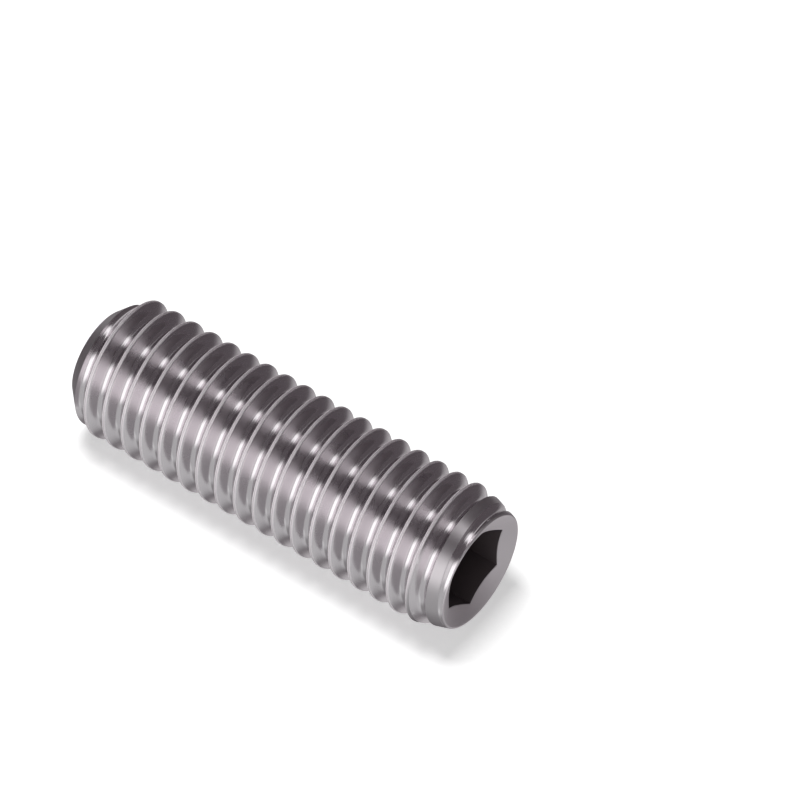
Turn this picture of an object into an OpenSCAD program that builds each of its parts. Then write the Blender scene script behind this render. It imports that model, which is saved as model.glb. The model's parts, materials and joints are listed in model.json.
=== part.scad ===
// Grub set screw with a hexagon socket: one turned, threaded and broached piece.
// It stands on its flat point. Z runs along the axis, from the point up to the socket.

/* [Body] */
// Whole length, from the flat point to the rim of the socket end
screw_l = 25; // [16:0.5:30]
// Thread diameter, over the crests
thread_d = 8; // [7.4:0.1:10]

/* [Thread] */
// Distance along the axis from one crest to the next
pitch = 1.25; // [1:0.05:1.5]
// Angle between the two flanks of one thread
flank_angle = 60; // [50:1:65]
// Width of the flat left on each crest
crest_w = 0.156; // [0.1:0.002:0.2]
// Radius of the rounded root between two crests
root_r = 0.28; // [0.1:0.01:0.34]
// Direction round the axis in which a crest meets the plane of the point
thread_turn = 148; // [0:1:360]

/* [Flat point] */
// Diameter of the flat face at the tip
point_d = 5.5; // [4.5:0.1:6.5]
// Lean of the bevel round the tip, measured from the axis
point_angle = 45; // [35:1:60]

/* [Socket end] */
// Diameter of the rim, along its highest line
rim_d = 6.62; // [5.8:0.02:6.9]
// Radius that breaks the edge of the rim
rim_r = 0.1; // [0.04:0.01:0.2]
// Lean of the long taper outside the rim, measured from the axis
taper_angle = 17; // [12:1:45]
// Lean of the countersink inside the rim, measured from the axis
sink_angle = 68; // [50:1:75]

/* [Hexagon socket] */
// Width of the hexagon across its flats
socket_af = 4.4; // [3:0.1:4.6]
// Depth of the hexagon, from the plane of the rim
socket_depth = 5; // [3:0.1:8]
// Direction of one corner of the hexagon, round the axis
socket_turn = 46; // [0:1:60]
// Ledge left below each flat, beside the hole drilled for the broach
pilot_ledge = 0.1; // [0.05:0.05:0.4]
// Angle between the two sides of that drill's tip
drill_angle = 118; // [90:1:140]

/* [Hidden] */

steel = "#A8A4A8";
thread_r = thread_d / 2;
flank_lean = flank_angle / 2;
valley_w = pitch - crest_w;

// Flat strips round one turn of the thread, and straight steps across one root
turn_steps = 32;
root_steps = 3;
// Straight steps on the rim, from the taper up to its highest line
rim_steps = 3;
// Whole turns swept before the point's plane and in all, so that both ends are cut clean
turns_below = 2;
turns = ceil(screw_l / pitch) + turns_below + 1;
// How far a cutting shape stands out of what it cuts
overshoot = 0.5;

// The root's arc touches both flanks, and its centre lies this far from the axis
root_centre_r = thread_r - valley_w / 2 / tan(flank_lean) + root_r / sin(flank_lean);

// One pitch of the thread's outline as [radius, height]: the crest's flat, then the root's arc
thread_outline = concat(
    [[thread_r, 0], [thread_r, crest_w]],
    [for (i = [0 : root_steps])
        let (a = (90 - flank_lean) * (2 * i / root_steps - 1))
        [root_centre_r - root_r * cos(a), crest_w + valley_w / 2 + root_r * sin(a)]]
);

// The outline swept up a right-handed helix, closed at each end by a fan to the axis
module threaded_rod() {
    n = len(thread_outline);
    last = turns * turn_steps;
    z_start = -turns_below * pitch - crest_w / 2;

    helix = [for (m = [0 : last], p = thread_outline)
        let (a = thread_turn + 360 * m / turn_steps)
        [p.x * cos(a), p.x * sin(a), z_start + p.y + pitch * m / turn_steps]];
    centres = [for (t = [0.5, turns - 0.5]) [0, 0, z_start + t * pitch]];

    // The crest, the falling flank and the root of each turn, two triangles a step
    strips = [for (m = [0 : last - 1], k = [0 : n - 2])
        let (a = m * n + k, b = a + n)
        each [[a, a + 1, b], [a + 1, b + 1, b]]];
    // The flank that climbs from one turn's root to the next turn's crest
    joins = [for (m = [0 : last - turn_steps - 1])
        let (a = m * n + n - 1, b = (m + turn_steps) * n)
        each [[a, b, a + n], [b, b + n, a + n]]];

    low_edge = concat(
        [for (m = [0 : turn_steps]) m * n],
        [for (k = [n - 1 : -1 : 1]) k]
    );
    high_edge = concat(
        [for (m = [last : -1 : last - turn_steps]) m * n + n - 1],
        [for (k = [0 : n - 2]) last * n + k]
    );
    caps = [for (end = [0, 1])
        let (edge = end == 0 ? low_edge : high_edge)
        for (i = [0 : len(edge) - 1])
        [len(helix) + end, edge[i], edge[(i + 1) % len(edge)]]];

    polyhedron(concat(helix, centres), concat(strips, joins, caps));
}

// What the lathe leaves: the flat point and its bevel, the long taper, the rim and the countersink
module turned_blank() {
    blank_r = thread_r + overshoot;
    bevel_h = (blank_r - point_d / 2) / tan(point_angle);

    // The rim's arc runs from the taper over its highest line to the countersink
    rim_centre = [rim_d / 2, screw_l - rim_r];
    rim_angles = concat(
        [for (i = [0 : rim_steps]) (90 - taper_angle) * (1 - i / rim_steps)],
        [sink_angle - 90]
    );
    rim = [for (a = rim_angles) rim_centre + rim_r * [sin(a), cos(a)]];
    taper_h = (blank_r - rim[0].x) / tan(taper_angle);
    sink_end = rim[len(rim) - 1];

    rotate_extrude($fn = 96)
        polygon(concat(
            [[0, 0], [point_d / 2, 0], [blank_r, bevel_h], [blank_r, rim[0].y - taper_h]],
            rim,
            [[0, sink_end.y - sink_end.x / tan(sink_angle)]]
        ));
}

// The broached hexagon, and below it the cone left by the drill's tip
module hexagon_socket() {
    pilot_d = socket_af - 2 * pilot_ledge;
    tip_h = pilot_d / 2 / tan(drill_angle / 2);

    translate([0, 0, screw_l - socket_depth]) {
        rotate([0, 0, socket_turn])
            cylinder(h = socket_depth + overshoot, d = socket_af / cos(30), $fn = 6);
        translate([0, 0, -tip_h])
            cylinder(h = tip_h, d1 = 0, d2 = pilot_d, $fn = 96);
    }
}

module set_screw() {
    color(steel)
        difference() {
            intersection() {
                threaded_rod();
                turned_blank();
            }
            hexagon_socket();
        }
}

set_screw();
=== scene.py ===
"""Grub set screw with a hexagon socket, dressed in bright stainless steel.

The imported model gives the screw's size and place. This script builds the same form again as one fine
mesh, whose thread, taper, rim and socket have the small rounded edges that catch the light, and lays a
pale studio round it.
"""

import json
import logging
import math
from dataclasses import dataclass, field
from enum import Enum
from functools import cached_property

import bpy
from mathutils import Matrix, Vector

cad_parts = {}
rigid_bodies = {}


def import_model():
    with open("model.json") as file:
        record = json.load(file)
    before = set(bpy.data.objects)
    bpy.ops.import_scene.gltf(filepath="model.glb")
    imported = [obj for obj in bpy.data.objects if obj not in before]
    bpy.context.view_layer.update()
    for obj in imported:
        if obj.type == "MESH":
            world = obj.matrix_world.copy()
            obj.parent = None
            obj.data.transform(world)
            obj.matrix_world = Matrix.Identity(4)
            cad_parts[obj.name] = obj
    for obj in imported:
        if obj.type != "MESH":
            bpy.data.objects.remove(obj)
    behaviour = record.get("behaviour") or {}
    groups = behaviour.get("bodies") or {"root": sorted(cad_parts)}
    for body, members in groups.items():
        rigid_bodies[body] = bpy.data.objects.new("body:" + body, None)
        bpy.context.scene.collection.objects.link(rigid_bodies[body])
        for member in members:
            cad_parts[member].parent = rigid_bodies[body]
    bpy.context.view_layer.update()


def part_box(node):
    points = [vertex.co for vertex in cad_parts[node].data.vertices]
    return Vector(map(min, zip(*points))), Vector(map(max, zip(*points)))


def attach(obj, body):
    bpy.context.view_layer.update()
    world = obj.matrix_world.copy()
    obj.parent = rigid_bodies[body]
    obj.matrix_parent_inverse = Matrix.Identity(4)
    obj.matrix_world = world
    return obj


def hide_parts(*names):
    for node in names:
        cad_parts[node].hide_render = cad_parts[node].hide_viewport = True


LOG = logging.getLogger("set_screw")

MM = 0.001
TURN = 2.0 * math.pi

# Heights that lie no further apart than this are one height
SAME_HEIGHT = 1e-9

# The places of a Mix node's colour sockets, whose names it also gives to its other sockets
MIX_FIRST = 6
MIX_SECOND = 7
MIX_RESULT = 2

Point2 = tuple[float, float]
Tint = tuple[float, float, float]
Colour = tuple[float, float, float, float]


def blend(low: float, high: float, share: float) -> float:
    """Returns the value that lies the given share of the way from low to high."""
    return low + (high - low) * share


@dataclass(frozen=True)
class ThreadForm:
    """The rolled metric thread: its outline along the axis, the same at every turn.

    Heights run along the axis from one crest's middle, and radii from the axis, both in metres.
    """

    radius: float
    pitch: float = 1.25 * MM
    flank_lean: float = math.radians(30.0)
    crest_width: float = 0.156 * MM
    crest_round: float = 0.06 * MM
    root_round: float = 0.28 * MM
    crest_steps: int = 3
    root_steps: int = 6
    flank_steps: int = 4
    start_angle: float = math.radians(148.0)

    def half_outline(self) -> list[Point2]:
        """Works out the outline from a crest's middle down to the bottom of the root beside it.

        Returns:
            Points as (height, radius), without the crest's middle and with the root's lowest point.
        """
        turn = math.pi / 2.0 - self.flank_lean
        half_crest = self.crest_width / 2.0
        crest_centre = (
            half_crest - self.crest_round * math.tan(turn / 2.0),
            self.radius - self.crest_round,
        )
        valley = (self.pitch - self.crest_width) / 2.0
        root_centre = (
            self.pitch / 2.0,
            self.radius - valley / math.tan(self.flank_lean) + self.root_round / math.sin(self.flank_lean),
        )
        crest = [
            (
                crest_centre[0] + self.crest_round * math.sin(a),
                crest_centre[1] + self.crest_round * math.cos(a),
            )
            for a in (turn * i / self.crest_steps for i in range(self.crest_steps + 1))
        ]
        half_root = self.root_steps // 2
        root = [
            (
                root_centre[0] + self.root_round * math.sin(a),
                root_centre[1] - self.root_round * math.cos(a),
            )
            for a in (turn * (i / half_root - 1.0) for i in range(half_root + 1))
        ]
        flank = [
            (blend(crest[-1][0], root[0][0], share), blend(crest[-1][1], root[0][1], share))
            for share in (i / self.flank_steps for i in range(1, self.flank_steps))
        ]
        return crest + flank + root

    def outline(self) -> list[Point2]:
        """Works out one whole pitch, from just after one crest's middle to just before the next.

        Returns:
            Points as (height, radius), rising along the axis.
        """
        down = self.half_outline()
        up = [(self.pitch - height, radius) for height, radius in reversed(down[:-1])]
        return down + up

    def crest_height(self, angle: float) -> float:
        """Gives the height of the crest that starts in the point's plane, at an angle round the axis."""
        return self.pitch * (angle - self.start_angle) / TURN

    def radius_at(self, height: float, angle: float) -> float:
        """Gives the radius of the thread's surface.

        Args:
            height: Distance from the point's plane.
            angle: Direction round the axis.

        Returns:
            The radius in metres, along the straight lines between the outline's points.
        """
        along = (height - self.crest_height(angle)) % self.pitch
        points = self.outline_closed
        for (low_h, low_r), (high_h, high_r) in zip(points, points[1:]):
            if along <= high_h:
                return blend(low_r, high_r, (along - low_h) / (high_h - low_h))
        return points[-1][1]

    @cached_property
    def outline_closed(self) -> list[Point2]:
        """Returns the outline with both crest middles added, so that it covers the whole pitch."""
        return [(0.0, self.radius)] + self.outline() + [(self.pitch, self.radius)]


@dataclass(frozen=True)
class TurnedBlank:
    """The lathe's outline, which limits the thread: flat point, bevel, taper, rim and countersink."""

    length: float
    point_radius: float = 2.75 * MM
    point_lean: float = math.radians(45.0)
    rim_radius: float = 3.31 * MM
    rim_round: float = 0.1 * MM
    taper_lean: float = math.radians(17.0)
    sink_lean: float = math.radians(68.0)

    @property
    def taper_top(self) -> Point2:
        """Returns where the taper meets the rim's arc, as (height, radius)."""
        return self.rim_point(math.pi / 2.0 - self.taper_lean)

    @property
    def sink_top(self) -> Point2:
        """Returns where the rim's arc meets the countersink, as (height, radius)."""
        return self.rim_point(self.sink_lean - math.pi / 2.0)

    def rim_point(self, angle: float) -> Point2:
        """Gives a point of the rim's arc.

        Args:
            angle: The direction from the arc's centre, measured from straight up and outward if positive.

        Returns:
            The point as (height, radius).
        """
        return (
            self.length - self.rim_round + self.rim_round * math.cos(angle),
            self.rim_radius + self.rim_round * math.sin(angle),
        )

    def outer_radius(self, height: float) -> float:
        """Gives the radius outside the rim's highest line.

        Args:
            height: Distance from the point's plane.

        Returns:
            The radius in metres of the bevel, the taper or the rim's arc, whichever limits the screw there.
        """
        taper_h, taper_r = self.taper_top
        if height > taper_h:
            rise = min(1.0, (height - self.length + self.rim_round) / self.rim_round)
            return self.rim_radius + self.rim_round * math.sqrt(max(0.0, 1.0 - rise * rise))
        bevel = self.point_radius + height * math.tan(self.point_lean)
        taper = taper_r + (taper_h - height) * math.tan(self.taper_lean)
        return min(bevel, taper)

    def mouth_height(self, radius: float) -> float:
        """Gives the height of the mouth's surface, inside the rim's highest line.

        Args:
            radius: Distance from the axis.

        Returns:
            The height in metres of the rim's arc or of the countersink.
        """
        sink_h, sink_r = self.sink_top
        if radius < sink_r:
            return sink_h - (sink_r - radius) / math.tan(self.sink_lean)
        inward = (self.rim_radius - radius) / self.rim_round
        return self.length - self.rim_round + self.rim_round * math.sqrt(max(0.0, 1.0 - inward * inward))


@dataclass(frozen=True)
class HexSocket:
    """The broached hexagon, and the cone of the drill that went before the broach."""

    across_flats: float = 4.4 * MM
    depth: float = 5.0 * MM
    corner_angle: float = math.radians(46.0)
    pilot_ledge: float = 0.1 * MM
    drill_lean: float = math.radians(59.0)
    edge_round: float = 0.05 * MM
    # Each band of the rounded edge ends after these shares of the edge, inward and down
    edge_bands: tuple[Point2, ...] = ((0.7, 0.3), (1.0, 1.0))

    def radius_at(self, angle: float) -> float:
        """Gives the distance from the axis to the hexagon's wall.

        Args:
            angle: Direction round the axis.

        Returns:
            The distance in metres.
        """
        side = TURN / 6.0
        from_flat = (angle - self.corner_angle) % side - side / 2.0
        return self.across_flats / 2.0 / math.cos(from_flat)


class Surface(Enum):
    """The ways in which the screw's surfaces were made, numbered as the finishes on its mesh."""

    ROLLED = 0
    TURNED = 1
    BROACHED = 2
    BEVELLED = 3


@dataclass
class ScrewMesh:
    """Builds the whole screw as one closed mesh of helical and round strips.

    Every column is a half-plane through the axis. Its heights follow the helix over the thread, so that
    crests and roots are clean lines, and the vertex nearest to each cut of the bevel or the taper is moved
    onto it.
    """

    thread: ThreadForm
    blank: TurnedBlank
    socket: HexSocket
    columns: int = 180
    # How often the stretch round a cut is halved
    halvings: int = 24
    # A ring this far inside the point's edge keeps the shading of the flat face flat
    support_gap: float = 0.04 * MM
    # Faces that meet at more than this angle have a sharp edge between them
    sharp_angle: float = math.radians(42.0)
    vertices: list[Vector] = field(default_factory=list)
    faces: list[tuple[int, ...]] = field(default_factory=list)
    surfaces: list[int] = field(default_factory=list)

    def angle(self, column: int) -> float:
        """Returns a column's direction. One column in thirty meets a corner of the socket."""
        return self.socket.corner_angle + TURN * column / self.columns

    @property
    def angles(self) -> list[float]:
        """Returns the directions of all the columns, in their order."""
        return [self.angle(column) for column in range(self.columns)]

    def add(self, angle: float, height: float, radius: float) -> int:
        """Adds a vertex and returns its number."""
        self.vertices.append(Vector((radius * math.cos(angle), radius * math.sin(angle), height)))
        return len(self.vertices) - 1

    def surface_radius(self, height: float, angle: float) -> float:
        """Returns the smaller of the thread's radius and the blank's, which is the screw's outside."""
        return min(self.thread.radius_at(height, angle), self.blank.outer_radius(height))

    def excess(self, height: float, angle: float) -> float:
        """Returns how far the thread's radius stands over the blank's."""
        return self.thread.radius_at(height, angle) - self.blank.outer_radius(height)

    def cut_height(self, low: float, high: float, angle: float) -> float:
        """Finds where the thread's surface crosses the blank's between two heights.

        Args:
            low: Height on one side of the cut.
            high: Height on the other side.
            angle: Direction round the axis.

        Returns:
            The height of the cut, by halving the stretch.
        """
        low_sign = self.excess(low, angle) > 0.0
        for _ in range(self.halvings):
            middle = (low + high) / 2.0
            if (self.excess(middle, angle) > 0.0) == low_sign:
                low = middle
            else:
                high = middle
        return (low + high) / 2.0

    def helix_heights(self, column: int) -> list[float]:
        """Works out one column's heights over the thread, clamped to the stretch between point and rim.

        Args:
            column: The column's number.

        Returns:
            Heights that rise from the point's plane to the taper's top, with repeats at both ends.
        """
        angle = self.angle(column)
        top = self.blank.taper_top[0]
        outline = self.thread.outline()
        climb = self.thread.crest_height(angle) - self.thread.crest_height(self.angle(0))
        first = climb - self.lowest_crest()
        # The columns start over a pitch below the point, so they need more turns than the screw has
        turns = math.ceil(self.blank.length / self.thread.pitch) + 2
        heights = [
            min(max(first + self.thread.pitch * t + height, 0.0), top)
            for t in range(turns)
            for height, _ in outline
        ]
        moved = list(heights)
        for i in range(len(heights) - 1):
            low, high = heights[i], heights[i + 1]
            same_side = (self.excess(low, angle) > 0.0) == (self.excess(high, angle) > 0.0)
            if high - low < SAME_HEIGHT or same_side:
                continue
            cut = self.cut_height(low, high, angle)
            nearest = i if cut - low < high - cut else i + 1
            if 0.0 < heights[nearest] < top:
                moved[nearest] = cut
        return moved

    def lowest_crest(self) -> float:
        """Returns how far below the point's plane column 0 starts, at a crest and over a pitch down."""
        pitch = self.thread.pitch
        return 2.0 * pitch - self.thread.crest_height(self.angle(0)) % pitch

    def helix_column(self, column: int) -> list[int]:
        """Adds one column's vertices over the thread.

        Args:
            column: The column's number.

        Returns:
            Vertex numbers from the point to the taper's top, where clamped heights share one vertex.
        """
        angle = self.angle(column)
        numbers: list[int] = []
        last = None
        for height in self.helix_heights(column):
            if last is None or height - last > SAME_HEIGHT:
                numbers.append(self.add(angle, height, self.surface_radius(height, angle)))
                last = height
            else:
                numbers.append(numbers[-1])
        return numbers

    def add_face(self, corners: list[int], surface: Surface) -> None:
        """Adds a face without its repeated corners, and nothing where fewer than three are left.

        Args:
            corners: Vertex numbers round the face.
            surface: How the surface was made.
        """
        kept = [c for i, c in enumerate(corners) if c != corners[i - 1]]
        if len(kept) >= 3:
            self.faces.append(tuple(kept))
            self.surfaces.append(surface.value)

    def outside_surface(self, corners: list[int]) -> Surface:
        """Tells how a face of the outside was made.

        Args:
            corners: Vertex numbers round the face.

        Returns:
            Rolled on the thread, and bevelled where the bevel or the taper cuts the thread off.
        """
        middle = sum((self.vertices[c] for c in corners), Vector()) / len(corners)
        cut = self.excess(middle.z, math.atan2(middle.y, middle.x)) > 0.0
        return Surface.BEVELLED if cut else Surface.ROLLED

    def build_thread(self) -> tuple[list[int], list[int]]:
        """Builds the outside from the point's plane to the taper's top.

        Returns:
            The vertex numbers of its lowest ring and of its highest ring.
        """
        grid = [self.helix_column(column) for column in range(self.columns)]
        per_turn = len(self.thread.outline())
        for column, here in enumerate(grid):
            # The last column meets column 0 one turn further up
            wraps = column == self.columns - 1
            beside = grid[0][per_turn:] + [grid[0][-1]] * per_turn if wraps else grid[column + 1]
            for i in range(len(here) - 1):
                corners = [here[i], beside[i], beside[i + 1], here[i + 1]]
                self.add_face(corners, self.outside_surface(corners))
        return [column[0] for column in grid], [column[-1] for column in grid]

    def join_rings(self, low: list[int], high: list[int], surface: Surface = Surface.TURNED) -> None:
        """Joins two rings of vertices with one band of faces.

        Args:
            low: The ring that lies below, or further out.
            high: The other ring.
            surface: How the surface was made.
        """
        for i in range(self.columns):
            k = (i + 1) % self.columns
            self.add_face([low[i], low[k], high[k], high[i]], surface)

    def close_ring(self, ring: list[int], height: float, upward: bool, surface: Surface) -> None:
        """Closes a ring with a fan to the axis.

        Args:
            ring: The ring's vertex numbers.
            height: The height at which the fan meets the axis.
            upward: Whether its faces look up, and not down.
            surface: How the surface was made.
        """
        centre = self.add(0.0, height, 0.0)
        for i in range(self.columns):
            k = (i + 1) % self.columns
            self.add_face([ring[i], ring[k], centre] if upward else [ring[k], ring[i], centre], surface)

    def rim_top(self, angle: float) -> Point2:
        """Finds the rim's highest point in one direction, lower and further in where a root cuts into it.

        Args:
            angle: Direction round the axis.

        Returns:
            The point as (height, radius).
        """
        radius = min(self.blank.rim_radius, self.thread.radius_at(self.blank.length, angle))
        return self.blank.mouth_height(radius), radius

    def build_rim(self, ring: list[int], steps: int = 4) -> list[int]:
        """Builds the outer part of the rim's arc.

        Args:
            ring: The ring at the taper's top.
            steps: Number of bands on the arc.

        Returns:
            The ring along the rim's highest line.
        """
        start = math.pi / 2.0 - self.blank.taper_lean
        for step in range(1, steps + 1):
            height, radius = self.blank.rim_point(start * (1.0 - step / steps))
            nearer = []
            for angle in self.angles:
                top_h, top_r = self.rim_top(angle)
                if step == steps:
                    nearer.append(self.add(angle, top_h, top_r))
                else:
                    limit = min(height, top_h)
                    nearer.append(self.add(angle, limit, min(radius, self.thread.radius_at(limit, angle))))
            self.join_rings(ring, nearer)
            ring = nearer
        return ring

    def build_mouth(self, ring: list[int], arc_steps: int = 3, sink_steps: int = 8) -> list[int]:
        """Builds the inner part of the rim's arc, the countersink and the hexagon's edge.

        Args:
            ring: The ring along the rim's highest line.
            arc_steps: Number of bands on the arc.
            sink_steps: Number of bands on the countersink.

        Returns:
            The ring just below the hexagon's edge.
        """
        sink_r = self.blank.sink_top[1]
        edge = self.socket.edge_round
        shares: list[tuple[float, float]] = [(s / arc_steps, 0.0) for s in range(1, arc_steps + 1)]
        shares += [(1.0, s / sink_steps) for s in range(1, sink_steps + 1)]
        for on_arc, on_sink in shares:
            nearer = []
            for angle in self.angles:
                outer = blend(self.rim_top(angle)[1], sink_r, on_arc)
                radius = blend(outer, self.socket.radius_at(angle) + edge, on_sink)
                nearer.append(self.add(angle, self.blank.mouth_height(radius), radius))
            self.join_rings(ring, nearer)
            ring = nearer
        for inward, down in self.socket.edge_bands:
            nearer = []
            for angle in self.angles:
                radius = self.socket.radius_at(angle)
                height = self.blank.mouth_height(radius + edge) - edge * down
                nearer.append(self.add(angle, height, radius + edge * (1.0 - inward)))
            self.join_rings(ring, nearer)
            ring = nearer
        return ring

    def build_socket(self, ring: list[int]) -> None:
        """Builds the hexagon's walls, the ledge at their foot and the drill's cone.

        Args:
            ring: The ring just below the hexagon's edge.
        """
        floor = self.blank.length - self.socket.depth
        pilot = self.socket.across_flats / 2.0 - self.socket.pilot_ledge
        foot = [self.add(angle, floor, self.socket.radius_at(angle)) for angle in self.angles]
        ledge = [self.add(angle, floor, pilot) for angle in self.angles]
        self.join_rings(ring, foot, Surface.BROACHED)
        self.join_rings(foot, ledge, Surface.BROACHED)
        tip = floor - pilot / math.tan(self.socket.drill_lean)
        self.close_ring(ledge, tip, upward=True, surface=Surface.BROACHED)

    def build_point(self, ring: list[int]) -> None:
        """Builds the flat face of the point.

        Args:
            ring: The ring round the point's plane.
        """
        radius = self.blank.point_radius - self.support_gap
        support = [self.add(angle, 0.0, radius) for angle in self.angles]
        self.join_rings(support, ring, Surface.BEVELLED)
        self.close_ring(support, 0.0, upward=False, surface=Surface.BEVELLED)

    def build(self, name: str) -> bpy.types.Object:
        """Builds the screw.

        Args:
            name: Name of the new object.

        Returns:
            The object, linked to the scene.
        """
        low, high = self.build_thread()
        self.build_point(low)
        self.build_socket(self.build_mouth(self.build_rim(high)))
        mesh = bpy.data.meshes.new(name)
        mesh.from_pydata(self.vertices, [], self.faces)
        mesh.polygons.foreach_set("material_index", self.surfaces)
        mesh.shade_smooth()
        mesh.set_sharp_from_angle(angle=self.sharp_angle)
        screw = bpy.data.objects.new(name, mesh)
        bpy.context.scene.collection.objects.link(screw)
        return screw

    def dress(self, screw: bpy.types.Object, finishes: "dict[Surface, SteelFinish]") -> None:
        """Gives the screw's mesh one material for each way in which its surfaces were made.

        Args:
            screw: The screw's object.
            finishes: The finish of each surface.
        """
        for surface in Surface:
            screw.data.materials.append(finishes[surface].build())


@dataclass(frozen=True)
class PhotoView:
    """The photograph's camera, given by how the screw lies in its picture."""

    axis_tilt: float = math.radians(67.7)
    axis_lean: float = math.radians(29.4)
    distance: float = 300.0 * MM
    image_size: float = 800.0
    pixels_per_metre: float = 18.87 / MM
    centre_px: tuple[float, float] = (289.3, 462.0)
    sensor: float = 36.0
    nearest: float = 0.01
    farthest: float = 5.0

    def axes(self) -> Matrix:
        """Works out the row's axes in the camera's own directions: right, down and forward.

        Returns:
            A matrix whose columns are the row's X, Y and Z.
        """
        s, c = math.sin(self.axis_tilt), math.cos(self.axis_tilt)
        along = Vector((s * math.cos(self.axis_lean), s * math.sin(self.axis_lean), -c))
        across = Vector((math.sin(self.axis_lean), -math.cos(self.axis_lean), 0.0))
        towards = along.cross(across)
        return Matrix((-across, -towards, along)).transposed()

    def place(self, centre: Vector) -> bpy.types.Object:
        """Makes the camera.

        Args:
            centre: The middle of the screw.

        Returns:
            The camera object.
        """
        to_row = self.axes().transposed()
        half = self.image_size / 2.0
        offset = Vector((
            (self.centre_px[0] - half) / self.pixels_per_metre,
            (self.centre_px[1] - half) / self.pixels_per_metre,
            self.distance,
        ))
        right, down, forward = (to_row @ Vector(v) for v in ((1, 0, 0), (0, 1, 0), (0, 0, 1)))
        data = bpy.data.cameras.new("photo_camera")
        data.sensor_width = self.sensor
        data.lens = self.pixels_per_metre * self.distance / self.image_size * self.sensor
        data.clip_start = self.nearest
        data.clip_end = self.farthest
        camera = bpy.data.objects.new("photo_camera", data)
        pose = Matrix((right, -down, -forward)).transposed().to_4x4()
        pose.translation = centre - to_row @ offset
        camera.matrix_world = pose
        bpy.context.scene.collection.objects.link(camera)
        return camera


class NodeSheet:
    """Adds nodes to one node tree and joins them, with plain numbers where a socket needs no link."""

    def __init__(self, tree: bpy.types.NodeTree) -> None:
        """Takes a tree and empties it.

        Args:
            tree: The tree of a material, of a world or of a node group.
        """
        self.tree = tree
        tree.nodes.clear()

    def node(self, kind: str, **settings: object) -> bpy.types.Node:
        """Adds a node.

        Args:
            kind: The node's type, such as ShaderNodeMath.
            **settings: The node's own settings, by name.

        Returns:
            The new node.
        """
        new = self.tree.nodes.new(kind)
        for name, value in settings.items():
            setattr(new, name, value)
        return new

    def feed(self, socket: bpy.types.NodeSocket, value: object) -> None:
        """Links an output to a socket, or sets a plain value on it.

        Args:
            socket: The input that is fed.
            value: Another node's output, or a number or colour.
        """
        if isinstance(value, bpy.types.NodeSocket):
            self.tree.links.new(value, socket)
        else:
            socket.default_value = value

    def fed(self, kind: str, *values: object, **settings: object) -> bpy.types.Node:
        """Adds a node and feeds its inputs in their order.

        Args:
            kind: The node's type.
            *values: Another node's output or a plain value, for each input.
            **settings: The node's own settings, by name.

        Returns:
            The new node.
        """
        new = self.node(kind, **settings)
        for socket, value in zip(new.inputs, values):
            self.feed(socket, value)
        return new

    def math(self, operation: str, *values: object) -> bpy.types.NodeSocket:
        """Adds a Math node with a value for each input, and returns its result."""
        return self.fed("ShaderNodeMath", *values, operation=operation).outputs[0]

    def vector(self, x: object, y: object, z: object) -> bpy.types.NodeSocket:
        """Joins three values into a vector."""
        return self.fed("ShaderNodeCombineXYZ", x, y, z).outputs[0]

    def fade(
        self, value: object, start: object, end: object, low: object, high: object
    ) -> bpy.types.NodeSocket:
        """Maps a value smoothly from one stretch to another.

        Args:
            value: What is mapped.
            start: The value that gives low.
            end: The value that gives high.
            low: The result up to start.
            high: The result past end.

        Returns:
            The mapped value.
        """
        values = (value, start, end, low, high)
        return self.fed("ShaderNodeMapRange", *values, interpolation_type="SMOOTHSTEP").outputs["Result"]

    def noise(self, place: bpy.types.NodeSocket, scale: object, detail: float) -> bpy.types.NodeSocket:
        """Adds a noise texture.

        Args:
            place: The vector that it is read at.
            scale: Its scale.
            detail: Its number of finer layers.

        Returns:
            The noise as a value round 0.5.
        """
        new = self.node("ShaderNodeTexNoise")
        for name, given in (("Vector", place), ("Scale", scale), ("Detail", detail)):
            self.feed(new.inputs[name], given)
        return new.outputs["Fac"]

    def colour(self, share: object, first: object, second: object) -> bpy.types.NodeSocket:
        """Mixes two colours.

        Args:
            share: How much of the second colour there is, from 0 to 1.
            first: The first colour.
            second: The second colour.

        Returns:
            The mixed colour.
        """
        new = self.node("ShaderNodeMix", data_type="RGBA")
        self.feed(new.inputs[0], share)
        self.feed(new.inputs[MIX_FIRST], first)
        self.feed(new.inputs[MIX_SECOND], second)
        return new.outputs[MIX_RESULT]

    def group(self, effect: "Effect", **inputs: object) -> bpy.types.Node:
        """Places a shared effect.

        Args:
            effect: Which one.
            **inputs: Its inputs by name, with underscores for spaces.

        Returns:
            The group's node.
        """
        new = self.node("ShaderNodeGroup", node_tree=effect.tree())
        for name, given in inputs.items():
            self.feed(new.inputs[name.replace("_", " ")], given)
        return new


def open_group(
    name: str, inputs: dict[str, float], outputs: tuple[str, ...]
) -> tuple[NodeSheet, dict[str, bpy.types.NodeSocket], bpy.types.Node]:
    """Starts a node group with named sockets.

    Args:
        name: The group's name.
        inputs: Each input's name and the value that it has unless it is set.
        outputs: The names of the outputs.

    Returns:
        The group's sheet, its inputs by name, and the node that takes its outputs.
    """
    tree = bpy.data.node_groups.new(name, "ShaderNodeTree")
    for label, value in inputs.items():
        socket = tree.interface.new_socket(label, in_out="INPUT", socket_type="NodeSocketFloat")
        socket.default_value = value
    for label in outputs:
        tree.interface.new_socket(label, in_out="OUTPUT", socket_type="NodeSocketFloat")
    sheet = NodeSheet(tree)
    given = sheet.node("NodeGroupInput").outputs
    return sheet, {label: given[label] for label in inputs}, sheet.node("NodeGroupOutput")


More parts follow.
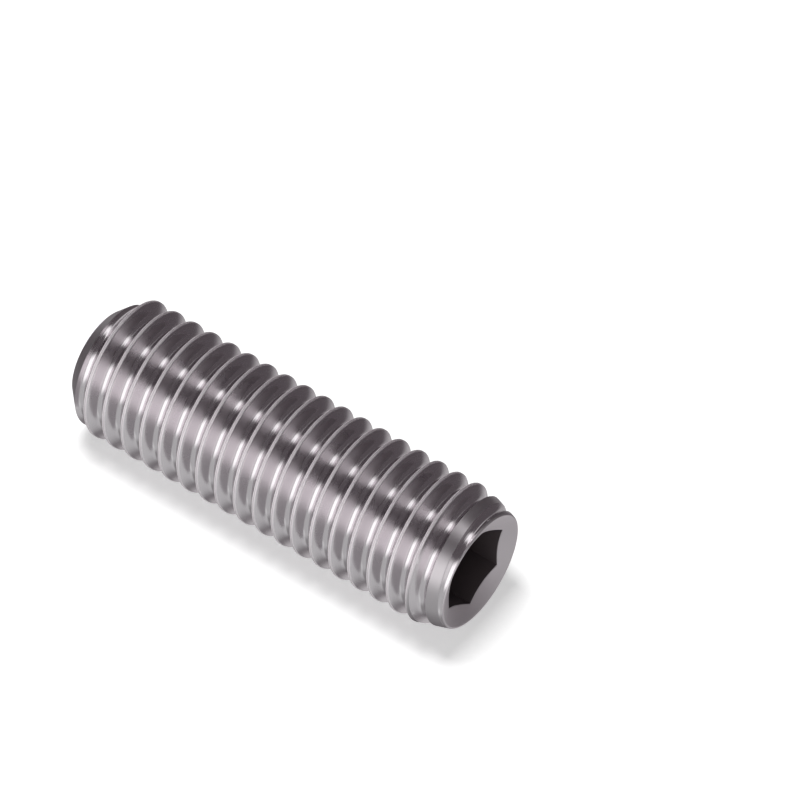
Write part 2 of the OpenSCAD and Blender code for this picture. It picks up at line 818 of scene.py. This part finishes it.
def build_tool_lines() -> bpy.types.NodeTree:
    """Builds the fine lines that a die or a cutting edge leaves round the axis.

    With a Lead the lines climb with the thread, and they are the same again every Repeat along the axis.

    Returns:
        A group that gives the lines' Height, the slower Drift of their depth, the Seam that rolling leaves
        at one distance along the lead, and the Under Side of each turn below it, all from 0 to 1.
    """
    inputs = {
        "Lead": 0.0,
        "Repeat": 1.0,
        "Line Width": 0.02 * MM,
        "Line Breaks": 6.0,
        "Seam At": 0.5,
        "Seam Width": 0.045 * MM,
        "Under Side At": 0.27 * MM,
        "Under Side Core": 0.13 * MM,
        "Under Side Edge": 0.19 * MM,
    }
    # How much a distance from the axis counts beside one along it, so that a steep flank has lines too
    outward_share = 1.7
    # The drift of the lines' depth is read at this share of the lines' own steps, at a scale of its own
    drift_share = 0.07
    drift_scale = 0.6
    sheet, given, out = open_group("tool_lines", inputs, ("Height", "Drift", "Seam", "Under Side"))
    place = sheet.node("ShaderNodeTexCoord").outputs["Object"]
    x, y, z = sheet.fed("ShaderNodeSeparateXYZ", place).outputs
    bearing = sheet.math("ARCTAN2", y, x)
    climb = sheet.math("DIVIDE", sheet.math("MULTIPLY", bearing, given["Lead"]), TURN)
    along = sheet.math("WRAP", sheet.math("SUBTRACT", z, climb), given["Repeat"], 0.0)
    square = sheet.math("ADD", sheet.math("MULTIPLY", x, x), sheet.math("MULTIPLY", y, y))
    radius = sheet.math("SQRT", square)
    per_line = sheet.math("DIVIDE", 1.0, given["Line Width"])
    round_x = sheet.math("MULTIPLY", sheet.math("DIVIDE", x, radius), given["Line Breaks"])
    round_y = sheet.math("MULTIPLY", sheet.math("DIVIDE", y, radius), given["Line Breaks"])
    # The noise changes fast across the lines, and along them a line lasts for a good part of a turn
    outward = sheet.math("MULTIPLY", radius, outward_share)
    across = sheet.math("MULTIPLY", sheet.math("ADD", along, outward), per_line)
    lines = sheet.noise(sheet.vector(across, round_x, round_y), 1.0, detail=3.0)
    slow = sheet.vector(sheet.math("MULTIPLY", across, drift_share), round_x, round_y)
    half = sheet.math("MULTIPLY", given["Repeat"], 0.5)
    past_seam = sheet.math("SUBTRACT", along, given["Seam At"])
    aside = sheet.math("WRAP", past_seam, half, sheet.math("MULTIPLY", half, -1.0))
    seam = sheet.fade(sheet.math("ABSOLUTE", aside), 0.0, given["Seam Width"], 1.0, 0.0)
    below = sheet.math("ABSOLUTE", sheet.math("ADD", aside, given["Under Side At"]))
    under = sheet.fade(below, given["Under Side Core"], given["Under Side Edge"], 1.0, 0.0)
    sheet.feed(out.inputs["Height"], lines)
    sheet.feed(out.inputs["Drift"], sheet.noise(slow, drift_scale, detail=1.0))
    sheet.feed(out.inputs["Seam"], seam)
    sheet.feed(out.inputs["Under Side"], under)
    return sheet.tree


def build_handling_marks() -> bpy.types.NodeTree:
    """Builds the faint dull patches and hair scratches that handling leaves on bright steel.

    Returns:
        A group that gives the Patches from 0 to 1 and the Scratches, which are 1 only on thin lines.
    """
    inputs = {"Patch Size": 2.0 * MM, "Scratch Share": 0.5}
    # The scratches run aslant of the axis, where a stretched noise has its middle value
    slope = (0.4, 0.9, 0.3)
    stretching = (1.0, 6.0, 1.0)
    finer = 1.6
    noise_middle = 0.5
    hair_width = 0.006
    sheet, given, out = open_group("handling_marks", inputs, ("Patches", "Scratches"))
    place = sheet.node("ShaderNodeTexCoord").outputs["Object"]
    size = sheet.math("DIVIDE", 1.0, given["Patch Size"])
    patches = sheet.fade(sheet.noise(place, size, detail=3.0), 0.3, 0.7, 0.0, 1.0)
    stretch = sheet.node("ShaderNodeMapping")
    sheet.feed(stretch.inputs["Vector"], place)
    stretch.inputs["Rotation"].default_value = slope
    stretch.inputs["Scale"].default_value = stretching
    long_noise = sheet.noise(stretch.outputs[0], sheet.math("MULTIPLY", size, finer), detail=1.0)
    ridge = sheet.math("ABSOLUTE", sheet.math("SUBTRACT", long_noise, noise_middle))
    hair = sheet.fade(ridge, 0.0, hair_width, 1.0, 0.0)
    sheet.feed(out.inputs["Patches"], patches)
    sheet.feed(out.inputs["Scratches"], sheet.math("MULTIPLY", hair, given["Scratch Share"]))
    return sheet.tree


def build_wear_and_painted_light() -> bpy.types.NodeTree:
    """Builds the shares of what stands out and of what lies deep, by the distance from the axis.

    Returns:
        A group that gives the Crest and the Deep, both from 0 to 1.
    """
    # Crest and Deep set the roughness of worn steel, and also where a finish paints highlights and shade
    # into its colour
    inputs = {"Low Radius": 3.3 * MM, "High Radius": 4.0 * MM, "Band": 0.06 * MM, "Breakup": 0.3}
    spot_size = 0.4 * MM
    sheet, given, out = open_group("wear_and_painted_light_by_depth", inputs, ("Crest", "Deep"))
    place = sheet.node("ShaderNodeTexCoord").outputs["Object"]
    flat = sheet.fed("ShaderNodeVectorMath", place, (1.0, 1.0, 0.0), operation="MULTIPLY").outputs[0]
    radius = sheet.fed("ShaderNodeVectorMath", flat, operation="LENGTH").outputs["Value"]
    high_start = sheet.math("SUBTRACT", given["High Radius"], given["Band"])
    low_end = sheet.math("ADD", given["Low Radius"], given["Band"])
    spots = sheet.noise(place, 1.0 / spot_size, detail=3.0)
    kept = sheet.math("SUBTRACT", 1.0, sheet.math("MULTIPLY", spots, given["Breakup"]))
    crest = sheet.fade(radius, high_start, given["High Radius"], 0.0, 1.0)
    deep = sheet.fade(radius, given["Low Radius"], low_end, 1.0, 0.0)
    sheet.feed(out.inputs["Crest"], sheet.math("MULTIPLY", crest, kept))
    sheet.feed(out.inputs["Deep"], sheet.math("MULTIPLY", deep, kept))
    return sheet.tree


def build_studio_panel() -> bpy.types.NodeTree:
    """Builds the shape of one soft light panel, seen from the screw in directions round its axis.

    Returns:
        A group that gives the Panel's brightness, which is 1 inside it and fades to 0 over its edges.
    """
    inputs = {
        "Bearing": 0.0,
        "Tilt": 90.0,
        "Centre": 0.0,
        "Half Width": 20.0,
        "Edge": 5.0,
        "Slant": 0.0,
        "Tilt Centre": 90.0,
        "Half Height": 60.0,
        "Tilt Edge": 5.0,
    }
    sheet, given, out = open_group("studio_panel", inputs, ("Panel",))
    up = sheet.math("SUBTRACT", given["Tilt"], given["Tilt Centre"])
    middle = sheet.math("ADD", given["Centre"], sheet.math("MULTIPLY", up, given["Slant"]))
    aside = sheet.math("WRAP", sheet.math("SUBTRACT", given["Bearing"], middle), 180.0, -180.0)
    sides = (
        (aside, given["Half Width"], given["Edge"]),
        (up, given["Half Height"], given["Tilt Edge"]),
    )
    shares = []
    for off, half, edge in sides:
        inner = sheet.math("SUBTRACT", half, edge)
        outer = sheet.math("ADD", half, edge)
        shares.append(sheet.fade(sheet.math("ABSOLUTE", off), inner, outer, 1.0, 0.0))
    sheet.feed(out.inputs["Panel"], sheet.math("MULTIPLY", *shares))
    return sheet.tree


class Effect(Enum):
    """The effects that more than one finish, or more than one light panel, shares."""

    TOOL_LINES = "tool_lines"
    HANDLING_MARKS = "handling_marks"
    WEAR = "wear_and_painted_light_by_depth"
    STUDIO_PANEL = "studio_panel"

    def tree(self) -> bpy.types.NodeTree:
        """Gives the effect's node group, which is built when it is first asked for.

        Returns:
            The group's tree.
        """
        builders = {
            Effect.TOOL_LINES: build_tool_lines,
            Effect.HANDLING_MARKS: build_handling_marks,
            Effect.WEAR: build_wear_and_painted_light,
            Effect.STUDIO_PANEL: build_studio_panel,
        }
        return bpy.data.node_groups.get(self.value) or builders[self]()


@dataclass(frozen=True)
class SteelFinish:
    """A metal finish with fine lines, worn crests and hollows, handling marks and painted light, each with
    its own strength.
    """

    name: str
    colour: Colour = (0.65, 0.617, 0.638, 1.0)
    # The colour in the hollows near low_radius: painted shade where it is darker, a painted highlight where
    # lighter
    deep_painted_light: Colour = (0.58, 0.55, 0.565, 1.0)
    metallic: float = 1.0
    roughness: float = 0.13
    # A lighter colour on the crests, a painted highlight; crest_dulled makes them rougher
    crest_painted_highlight: Colour = (0.95, 0.91, 0.93, 1.0)
    crest_dulled: float = 0.55
    deep_dulled: float = 0.05
    under_dulled: float = 0.1
    # A darker colour on the under side of each turn, painted shade; under_dulled makes it rougher
    under_side_painted_shade: Colour = (0.56, 0.53, 0.548, 1.0)
    marked: float = 0.06
    patch_size: float = 2.0 * MM
    scratches: float = 0.5
    line_width: float = 0.05 * MM
    line_depth: float = 0.0008 * MM
    lead: float = 0.0
    # Lengths along the axis. A finish without a lead repeats past the screw's end and has no seam on it
    repeat: float = 1.0
    seam_at: float = 0.5
    # A darker colour in the seam's groove on the crest, painted shade
    seam_painted_shade: Colour = (0.62, 0.585, 0.605, 1.0)
    low_radius: float = 3.3 * MM
    high_radius: float = 4.0 * MM

    def build(self) -> bpy.types.Material:
        """Builds the material.

        Returns:
            The new material.
        """
        material = bpy.data.materials.new(self.name)
        material.use_nodes = True
        sheet = NodeSheet(material.node_tree)
        steel = sheet.node("ShaderNodeBsdfPrincipled")
        steel.inputs["Metallic"].default_value = self.metallic
        lines = sheet.group(
            Effect.TOOL_LINES,
            Lead=self.lead,
            Repeat=self.repeat,
            Line_Width=self.line_width,
            Seam_At=self.seam_at,
        )
        marks = sheet.group(
            Effect.HANDLING_MARKS, Patch_Size=self.patch_size, Scratch_Share=self.scratches
        )
        wear_and_light = sheet.group(Effect.WEAR, Low_Radius=self.low_radius, High_Radius=self.high_radius)
        # Painted shade on each turn's under side, a painted highlight on the crests, painted light in the
        # hollows, painted shade in the seam
        colour = sheet.colour(lines.outputs["Under Side"], self.colour, self.under_side_painted_shade)
        colour = sheet.colour(wear_and_light.outputs["Crest"], colour, self.crest_painted_highlight)
        colour = sheet.colour(wear_and_light.outputs["Deep"], colour, self.deep_painted_light)
        colour = sheet.colour(lines.outputs["Seam"], colour, self.seam_painted_shade)
        sheet.feed(steel.inputs["Base Color"], colour)
        dulled = (
            (wear_and_light.outputs["Crest"], self.crest_dulled),
            (wear_and_light.outputs["Deep"], self.deep_dulled),
            (lines.outputs["Under Side"], self.under_dulled),
            (marks.outputs["Patches"], self.marked),
            (lines.outputs["Drift"], self.marked),
        )
        roughness = self.roughness
        for share, amount in dulled:
            roughness = sheet.math("MULTIPLY_ADD", share, amount, roughness)
        sheet.feed(steel.inputs["Roughness"], roughness)
        bump = sheet.node("ShaderNodeBump")
        bump.inputs["Distance"].default_value = self.line_depth
        height = sheet.math("SUBTRACT", lines.outputs["Height"], marks.outputs["Scratches"])
        height = sheet.math("SUBTRACT", height, lines.outputs["Seam"])
        sheet.feed(bump.inputs["Height"], height)
        sheet.feed(steel.inputs["Normal"], bump.outputs["Normal"])
        sheet.fed("ShaderNodeOutputMaterial", steel.outputs[0])
        return material


ROLLED_THREAD = SteelFinish(
    "rolled_thread",
    # The thread's roots get a slightly lighter colour, a painted highlight, and a little less roughness
    deep_painted_light=(0.67, 0.64, 0.658, 1.0),
    deep_dulled=-0.03,
    lead=1.25 * MM,
    repeat=1.25 * MM,
    seam_at=0.736 * MM,
    low_radius=3.42 * MM,
)
TURNED_END = SteelFinish(
    "turned_end",
    roughness=0.42,
    line_depth=0.0015 * MM,
    # Next to the hexagon the darker hollow colour is painted shade at the socket's mouth
    low_radius=2.2 * MM,
)
TURNED_BEVEL_PAINTED_SHADE = SteelFinish(
    "turned_bevel_painted_shade",
    # A darker copy of the steel's colour, painted shade on the point's bevel and where the bevel or taper
    # cuts the thread
    colour=(0.5, 0.475, 0.49, 1.0),
    roughness=0.3,
    line_depth=0.001 * MM,
    low_radius=0.0,
)
BROACHED_SOCKET_PAINTED_SHADE = SteelFinish(
    "broached_socket_painted_shade",
    # Near black, painted shade inside the socket; the deep colour darkens it further near the drill cone's
    # tip
    colour=(0.08, 0.064, 0.068, 1.0),
    deep_painted_light=(0.06, 0.048, 0.052, 1.0),
    metallic=0.6,
    roughness=0.6,
    low_radius=1.0 * MM,
    high_radius=3.0 * MM,
)

FINISHES: dict[Surface, SteelFinish] = {
    Surface.ROLLED: ROLLED_THREAD,
    Surface.TURNED: TURNED_END,
    Surface.BROACHED: BROACHED_SOCKET_PAINTED_SHADE,
    Surface.BEVELLED: TURNED_BEVEL_PAINTED_SHADE,
}


@dataclass(frozen=True)
class Spread:
    """A stretch of angles in degrees: its middle, its half, and half of the soft edge at each end."""

    middle: float
    half: float
    edge: float


@dataclass(frozen=True)
class StudioPanel:
    """One soft panel that shows in the steel.

    It spreads around the screw's axis, and in tilt from the socket's end. With a slant its middle moves
    around the axis by that many degrees for each degree of tilt.
    """

    name: str
    light: float
    around: Spread
    tilt: Spread
    slant: float = 0.0
    tint: Tint = (1.0, 1.0, 1.0)

    def add(
        self, sheet: NodeSheet, bearing: bpy.types.NodeSocket, tilt: bpy.types.NodeSocket
    ) -> bpy.types.NodeSocket:
        """Adds the panel to the world's nodes.

        Args:
            sheet: The world's sheet.
            bearing: The direction's bearing.
            tilt: The direction's tilt.

        Returns:
            The panel's colour in that direction, as a vector.
        """
        panel = sheet.group(
            Effect.STUDIO_PANEL,
            Bearing=bearing,
            Tilt=tilt,
            Centre=self.around.middle,
            Half_Width=self.around.half,
            Edge=self.around.edge,
            Slant=self.slant,
            Tilt_Centre=self.tilt.middle,
            Half_Height=self.tilt.half,
            Tilt_Edge=self.tilt.edge,
        )
        panel.label = self.name
        light = sheet.node("ShaderNodeVectorMath", operation="SCALE")
        light.inputs[0].default_value = self.tint
        sheet.feed(light.inputs["Scale"], sheet.math("MULTIPLY", panel.outputs["Panel"], self.light))
        return light.outputs[0]


COOL_WHITE: Tint = (0.96, 1.0, 0.985)

PANELS = (
    StudioPanel("low fill", 0.47, Spread(-86.0, 28.0, 9.0), Spread(68.0, 58.0, 6.0), tint=COOL_WHITE),
    StudioPanel("low side", 0.56, Spread(-128.0, 19.0, 7.0), Spread(44.0, 26.0, 7.0), tint=COOL_WHITE),
    StudioPanel("low edge", 0.2, Spread(-128.0, 19.0, 7.0), Spread(100.0, 28.0, 7.0), tint=COOL_WHITE),
    StudioPanel("low floor", 0.55, Spread(-95.0, 45.0, 12.0), Spread(142.0, 16.0, 6.0), tint=COOL_WHITE),
    StudioPanel("key strip", 1.5, Spread(-32.0, 24.5, 8.0), Spread(108.0, 44.0, 10.0)),
    StudioPanel("key strip's foot", 0.8, Spread(-29.0, 26.0, 10.0), Spread(32.0, 24.0, 8.0)),
    StudioPanel("end softbox", 0.55, Spread(-100.0, 70.0, 20.0), Spread(11.0, 7.0, 4.0)),
    StudioPanel("rim strip", 1.32, Spread(46.0, 8.5, 5.0), Spread(115.0, 50.0, 6.0)),
    StudioPanel("rim strip's end", 0.5, Spread(56.0, 9.0, 5.0), Spread(50.0, 18.0, 5.0), slant=-0.6),
    StudioPanel("middle glow", 0.12, Spread(112.0, 24.0, 10.0), Spread(26.0, 8.0, 5.0)),
    StudioPanel("back wall", 0.55, Spread(105.0, 52.0, 10.0), Spread(140.0, 18.0, 6.0)),
    StudioPanel("back slope", 0.31, Spread(157.0, 15.0, 5.0), Spread(104.0, 22.0, 5.0), slant=-0.83),
    StudioPanel("far wall", 0.5, Spread(-172.0, 17.0, 6.0), Spread(55.0, 40.0, 8.0)),
    StudioPanel("far corner", 0.2, Spread(172.0, 8.0, 6.0), Spread(45.0, 30.0, 6.0)),
)


@dataclass
class Studio:
    """The pale floor, the soft lamp that throws the shadow, and the panels that show in the steel."""

    centre: Vector
    # The way up from the floor, on which the screw lies along its side
    up: Vector = field(default_factory=lambda: Vector((-0.56, -0.83, 0.0)).normalized())
    floor_gap: float = 4.0 * MM
    floor_half: float = 0.4
    floor_white: float = 0.9
    floor_glow: float = 0.4
    lamp_distance: float = 0.3
    lamp_lean: float = 0.12
    lamp_size: float = 0.09
    lamp_power: float = 0.6
    ambient: float = 0.24
    # What the steel shows between the panels
    dark: Tint = (0.116, 0.101, 0.11)

    def build_floor(self) -> bpy.types.Object:
        """Builds the floor, which is seen only from the side that the screw lies on.

        Returns:
            The floor's object.
        """
        along = Vector((0.0, 0.0, 1.0))
        aside = self.up.cross(along)
        middle = self.centre - self.up * self.floor_gap
        sides = ((-1, 1), (1, 1), (1, -1), (-1, -1))
        corners = [middle + (along * a + aside * b) * self.floor_half for a, b in sides]
        mesh = bpy.data.meshes.new("pale_floor")
        mesh.from_pydata(corners, [], [(0, 1, 2, 3)])
        if mesh.polygons[0].normal.dot(self.up) < 0.0:
            mesh.flip_normals()
        floor = bpy.data.objects.new("pale_floor", mesh)
        mesh.materials.append(self.floor_material())
        floor.visible_glossy = False
        bpy.context.scene.collection.objects.link(floor)
        return floor

    def floor_material(self) -> bpy.types.Material:
        """Builds the floor's matt white, which is clear from behind.

        Returns:
            The material.
        """
        material = bpy.data.materials.new("pale_floor")
        material.use_nodes = True
        sheet = NodeSheet(material.node_tree)
        matt = sheet.node("ShaderNodeBsdfDiffuse")
        matt.inputs["Color"].default_value = (self.floor_white, self.floor_white, self.floor_white, 1.0)
        glow = sheet.node("ShaderNodeEmission")
        glow.inputs["Strength"].default_value = self.floor_glow
        lit = sheet.fed("ShaderNodeAddShader", matt.outputs[0], glow.outputs[0])
        clear = sheet.node("ShaderNodeBsdfTransparent")
        behind = sheet.node("ShaderNodeNewGeometry").outputs["Backfacing"]
        either = sheet.fed("ShaderNodeMixShader", behind, lit.outputs[0], clear.outputs[0])
        sheet.fed("ShaderNodeOutputMaterial", either.outputs[0])
        return material

    def build_lamp(self) -> bpy.types.Object:
        """Builds the soft lamp above the screw, which throws its shadow and doesn't show in the steel.

        Returns:
            The lamp's object.
        """
        side = (self.up - Vector((0.0, 0.0, self.lamp_lean))).normalized()
        data = bpy.data.lights.new("soft_lamp", "AREA")
        data.size = self.lamp_size
        data.energy = self.lamp_power
        lamp = bpy.data.objects.new("soft_lamp", data)
        lamp.location = self.centre + side * self.lamp_distance
        lamp.rotation_euler = side.to_track_quat("Z", "Y").to_euler()
        lamp.visible_camera = False
        lamp.visible_glossy = False
        bpy.context.scene.collection.objects.link(lamp)
        return lamp

    def build_world(self) -> bpy.types.World:
        """Builds the surroundings: white to the camera, soft to the floor, and panels to the steel.

        Returns:
            The world.
        """
        world = bpy.data.worlds.new("studio")
        world.use_nodes = True
        sheet = NodeSheet(world.node_tree)
        way = sheet.node("ShaderNodeTexCoord").outputs["Generated"]
        x, y, z = sheet.fed("ShaderNodeSeparateXYZ", way).outputs
        round_axis = sheet.math("ARCTAN2", sheet.math("MULTIPLY", x, -1.0), sheet.math("MULTIPLY", y, -1.0))
        bearing = sheet.math("DEGREES", round_axis)
        tilt = sheet.math("DEGREES", sheet.math("ARCCOSINE", z))
        light = sheet.vector(*self.dark)
        for panel in PANELS:
            more = panel.add(sheet, bearing, tilt)
            light = sheet.fed("ShaderNodeVectorMath", light, more, operation="ADD").outputs[0]
        path = sheet.node("ShaderNodeLightPath").outputs
        ambient = (self.ambient, self.ambient, self.ambient, 1.0)
        seen = sheet.colour(path["Is Glossy Ray"], ambient, light)
        seen = sheet.colour(path["Is Camera Ray"], seen, (1.0, 1.0, 1.0, 1.0))
        back = sheet.fed("ShaderNodeBackground", seen)
        sheet.fed("ShaderNodeOutputWorld", back.outputs[0])
        world.cycles.sampling_method = "NONE"
        bpy.context.scene.world = world
        return world

    def build(self) -> None:
        """Builds the whole studio, for a view that shows the light as it is."""
        self.build_floor()
        self.build_lamp()
        self.build_world()
        bpy.context.scene.view_settings.view_transform = "Standard"


def main() -> None:
    """Builds the screw, its finish and the studio, and reports each piece."""
    logging.basicConfig(level=logging.INFO, format="%(name)s: %(message)s")
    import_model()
    low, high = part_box("set_screw")
    length = high[2] - low[2]
    thread = ThreadForm(radius=(high[0] - low[0]) / 2.0)
    mesh = ScrewMesh(thread, TurnedBlank(length=length), HexSocket())
    screw = mesh.build("threaded_body")
    mesh.dress(screw, FINISHES)
    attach(screw, "root")
    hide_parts("set_screw")
    LOG.info("threaded_body: %d vertices, %d faces", len(screw.data.vertices), len(screw.data.polygons))
    centre = Vector((0.0, 0.0, length / 2.0))
    Studio(centre=centre).build()
    LOG.info("studio: a floor, a lamp and %d panels", len(PANELS))
    bpy.context.scene.camera = PhotoView().place(centre)


if __name__ == "__main__":
    main()
